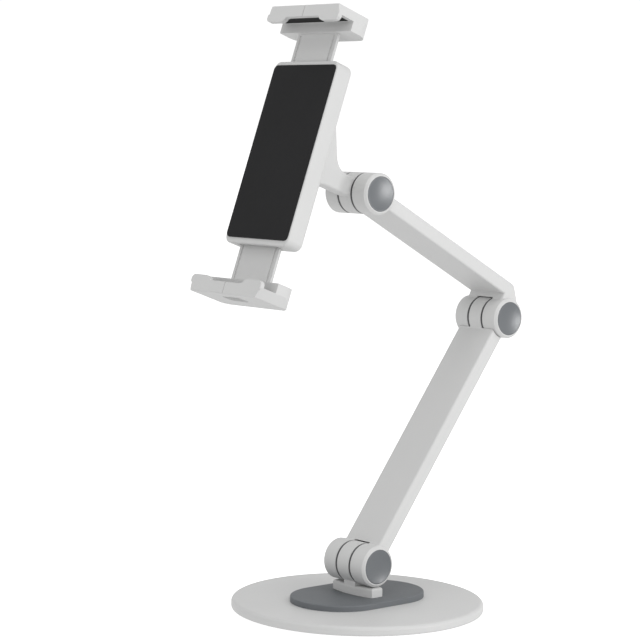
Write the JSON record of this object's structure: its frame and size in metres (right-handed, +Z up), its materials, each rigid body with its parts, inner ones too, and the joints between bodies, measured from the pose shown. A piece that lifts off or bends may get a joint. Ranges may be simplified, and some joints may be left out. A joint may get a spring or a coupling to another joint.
{
  "type": "tablet stand",
  "caption": "Foldable desk stand for a tablet: round weighted base, cranked arms on friction hinges, and a turning holder whose geared jaws slide apart to grip the edges",
  "frame": {"origin": "on the table under the middle of the base disc", "axes": "+Z up, the tablet faces -Y and leans back towards +Y, hinge axes along X"},
  "size_m": [0.16, 0.2377, 0.3774],
  "materials": {
    "white_paint": "smooth satin powder coat",
    "white_plastic": "fine matte moulded",
    "grey_plastic": "blue-grey matte moulded",
    "black_rubber": "soft matte",
    "dark_nylon": "satin",
    "steel": "zinc-plated"
  },
  "bodies": {
    "base": {"base_disc": "white_paint", "base_pad": "black_rubber", "base_plate": "grey_plastic", "base_plate_screws": "steel", "base_foot_screws": "steel", "base_washers": "steel", "base_bracket": "white_paint"},
    "lower_arm": {"lower_arm": "white_paint", "lower_hinge_bolt": "steel", "lower_hinge_springs": "steel", "lower_hinge_nut": "steel", "lower_hinge_washers": "dark_nylon", "lower_hinge_caps": "grey_plastic"},
    "upper_arm": {"upper_arm": "white_paint", "elbow_bolt": "steel", "elbow_springs": "steel", "elbow_nut": "steel", "elbow_washers": "dark_nylon", "elbow_caps": "grey_plastic", "head_hinge_bolt": "steel", "head_hinge_springs": "steel", "head_hinge_nut": "steel", "head_hinge_washers": "dark_nylon", "head_hinge_caps": "grey_plastic"},
    "head": {"head_bracket": "white_plastic", "turn_bolt": "steel", "turn_washers": "steel", "turn_ring": "dark_nylon"},
    "holder": {"holder_shell": "white_plastic", "holder_cover": "white_plastic", "holder_pad": "black_rubber", "holder_screws": "steel"},
    "pinion": {"jaw_pinion": "dark_nylon"},
    "upper_jaw": {"upper_jaw": "white_plastic", "upper_jaw_grip": "black_rubber", "upper_slide": "white_plastic", "upper_jaw_screws": "steel"},
    "lower_jaw": {"lower_jaw": "white_plastic", "lower_jaw_grip": "black_rubber", "lower_slide": "white_plastic", "lower_jaw_screws": "steel"}
  },
  "joints": [
    {"name": "lower_hinge", "type": "hinge", "parent": "base", "child": "lower_arm", "pos_m": [0, 0, 0.0296], "axis": [1, 0, 0], "range_deg": [-53.5, 126.5]},
    {"name": "elbow", "type": "hinge", "parent": "lower_arm", "child": "upper_arm", "pos_m": [0, 0.11201, 0.18097], "axis": [-1, 0, 0], "range_deg": [-51.5, 98.5]},
    {"name": "head_tilt", "type": "hinge", "parent": "upper_arm", "child": "head", "pos_m": [0, -0.00426, 0.26328], "axis": [1, 0, 0], "range_deg": [-98.5, 81.5]},
    {"name": "holder_turn", "type": "hinge", "parent": "head", "child": "holder", "pos_m": [0, -0.00426, 0.26328], "axis": [0, -0.9426, 0.3338], "continuous": true},
    {"name": "jaw_spread", "type": "slide", "parent": "holder", "child": "upper_jaw", "axis": [0, 0.3338, 0.9426], "range_m": [-0.018, 0.02]},
    {"name": "lower_jaw_spread", "type": "slide", "parent": "holder", "child": "lower_jaw", "axis": [0, -0.3338, -0.9426], "range_m": [-0.018, 0.02]},
    {"name": "pinion_turn", "type": "hinge", "parent": "holder", "child": "pinion", "pos_m": [0, -0.06553, 0.28498], "axis": [0, 0.9426, -0.3338], "range_deg": [-148, 164.5]}
  ],
  "couplings": [
    {"joint": "lower_jaw_spread", "follows": "jaw_spread", "ratio": 1},
    {"joint": "pinion_turn", "follows": "jaw_spread", "rad_per_m": 142.86}
  ]
}
